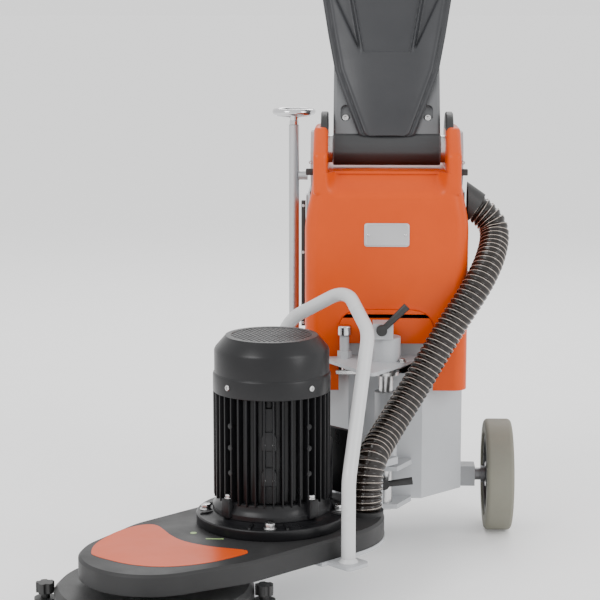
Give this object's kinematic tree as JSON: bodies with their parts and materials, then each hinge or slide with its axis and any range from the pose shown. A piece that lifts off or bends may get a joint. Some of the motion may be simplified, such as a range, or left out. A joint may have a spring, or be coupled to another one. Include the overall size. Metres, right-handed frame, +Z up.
{
  "type": "concrete grinder",
  "caption": "Walk-behind concrete floor grinder with a motor-driven disc on a side-swinging head, orange cover, dust hose, height handwheel and folding handle.",
  "frame": {"origin": "centre of the grinding disc on the floor", "axes": "+X to the machine's right, +Y towards the operator, +Z up; the head points to the front left"},
  "size_m": [0.768, 1.034, 1.1434],
  "materials": {
    "sheet": "satin light grey paint",
    "cover": "satin orange moulded plastic",
    "graphite": "satin dark grey plastic",
    "black_paint": "semi-gloss black paint",
    "cast_black": "black painted casting",
    "steel": "zinc plated",
    "chrome": "polished",
    "alu": "satin anodised",
    "black_plastic": "fine texture",
    "rubber": "black rubber",
    "tyre": "grey solid rubber",
    "red": "gloss",
    "green": "gloss",
    "hose": "ribbed translucent brown-black"
  },
  "bodies": {
    "chassis": {"chassis_tub": "sheet", "side_plate_left": "sheet", "side_plate_right": "sheet", "hinge_pin": "steel", "front_cover": "cover", "badge": "chrome", "screw_post": "alu", "pivot_plate": "sheet", "lower_bracket": "sheet", "hose_elbow": "black_plastic", "power_inlet": "black_plastic", "dust_spigot": "black_plastic", "dust_hose": "hose", "motor_lead": "rubber"},
    "handle": {"handle_hinge": "graphite", "handle_shield": "graphite", "handle_spine": "black_paint", "console": "graphite", "control_bezels": "black_plastic", "handlebar": "black_paint", "grip_left": "rubber", "grip_right": "rubber"},
    "start_button": {"start_button": "green"},
    "stop_button": {"stop_button": "red"},
    "emergency_stop": {"emergency_stop": "red"},
    "speed_knob": {"speed_knob": "black_plastic"},
    "handwheel": {"handwheel": "chrome"},
    "axle_carriage": {"axle_carriage": "sheet", "axle": "steel", "axle_bolts": "steel"},
    "wheel_left": {"wheel_rim_left": "black_paint", "wheel_tyre_left": "tyre"},
    "wheel_right": {"wheel_rim_right": "black_paint", "wheel_tyre_right": "tyre"},
    "index_plunger": {"index_plunger": "chrome"},
    "upper_lever": {"upper_lever": "black_plastic"},
    "lower_lever": {"lower_lever": "black_plastic"},
    "head": {"belt_cover": "graphite", "frame_plate": "sheet", "swing_arm": "sheet", "pivot_column": "steel", "swing_quadrant": "steel", "swing_stops": "steel", "guard_hoop": "sheet", "motor_flange": "cast_black", "motor_body": "cast_black", "fan_cowl": "cast_black", "terminal_box": "cast_black", "motor_bolts": "steel", "drive_belt": "rubber", "spindle_housing": "steel"},
    "motor_rotor": {"motor_rotor": "steel", "cooling_fan": "black_plastic"},
    "grinding_tool": {"spindle": "steel", "grinding_disc": "steel", "diamond_segments": "alu"},
    "dust_shroud": {"dust_shroud": "black_plastic", "shroud_lid": "black_plastic", "shroud_brush": "black_plastic", "shroud_knobs": "black_plastic"}
  },
  "joints": [
    {"name": "handle_fold", "type": "hinge", "parent": "chassis", "child": "handle", "pos_m": [0.35, 0.512, 0.692], "axis": [1, 0, 0], "range_deg": [-10, 100]},
    {"name": "start_press", "type": "slide", "parent": "handle", "child": "start_button", "axis": [0, -0.454, -0.891], "range_m": [0, 0.003], "stiffness_N_per_m": 400, "springref_m": -0.003},
    {"name": "stop_press", "type": "slide", "parent": "handle", "child": "stop_button", "axis": [0, -0.454, -0.891], "range_m": [0, 0.003], "stiffness_N_per_m": 400, "springref_m": -0.003},
    {"name": "emergency_press", "type": "slide", "parent": "handle", "child": "emergency_stop", "axis": [0, -0.454, -0.891], "range_m": [0, 0.005], "stiffness_N_per_m": 600, "springref_m": -0.004},
    {"name": "speed_turn", "type": "hinge", "parent": "handle", "child": "speed_knob", "pos_m": [0.422, 0.72628, 1.11255], "axis": [0, 0.454, 0.891], "range_deg": [-135, 135]},
    {"name": "handwheel_turn", "type": "hinge", "parent": "chassis", "child": "handwheel", "pos_m": [0.188, 0.572, 0], "axis": [0, 0, 1], "range_deg": [-910, 910]},
    {"name": "axle_height", "type": "slide", "parent": "chassis", "child": "axle_carriage", "axis": [0, 0, -1], "range_m": [-0.01, 0.01]},
    {"name": "wheel_left_roll", "type": "hinge", "parent": "axle_carriage", "child": "wheel_left", "pos_m": [0.145, 0.572, 0.1], "axis": [1, 0, 0], "continuous": true},
    {"name": "wheel_right_roll", "type": "hinge", "parent": "axle_carriage", "child": "wheel_right", "pos_m": [0.555, 0.572, 0.1], "axis": [1, 0, 0], "continuous": true},
    {"name": "plunger_lift", "type": "slide", "parent": "chassis", "child": "index_plunger", "axis": [0, 0, 1], "range_m": [0, 0.012], "stiffness_N_per_m": 300, "springref_m": -0.005},
    {"name": "upper_lever_turn", "type": "hinge", "parent": "chassis", "child": "upper_lever", "pos_m": [0.342, 0.336, 0.406], "axis": [0, -1, 0], "range_deg": [-40, 60]},
    {"name": "lower_lever_turn", "type": "hinge", "parent": "chassis", "child": "lower_lever", "pos_m": [0.348, 0.3456, 0.142], "axis": [0, -1, 0], "range_deg": [-12, 10]},
    {"name": "head_swing", "type": "hinge", "parent": "chassis", "child": "head", "pos_m": [0.35, 0.364, 0.2], "axis": [0, 0, 1], "range_deg": [-4, 92], "deforming": ["dust_hose", "motor_lead"]},
    {"name": "motor_spin", "type": "hinge", "parent": "head", "child": "motor_rotor", "pos_m": [0.168, 0.174, 0.1], "axis": [0, 0, 1], "continuous": true},
    {"name": "disc_spin", "type": "hinge", "parent": "head", "child": "grinding_tool", "pos_m": [0, 0, 0.02], "axis": [0, 0, 1], "continuous": true},
    {"name": "shroud_float", "type": "slide", "parent": "head", "child": "dust_shroud", "axis": [0, 0, 1], "range_m": [0, 0.015]}
  ],
  "couplings": [
    {"joint": "handwheel_turn", "follows": "axle_height", "rad_per_m": 1570.8},
    {"joint": "motor_spin", "follows": "disc_spin", "ratio": 1.5}
  ]
}
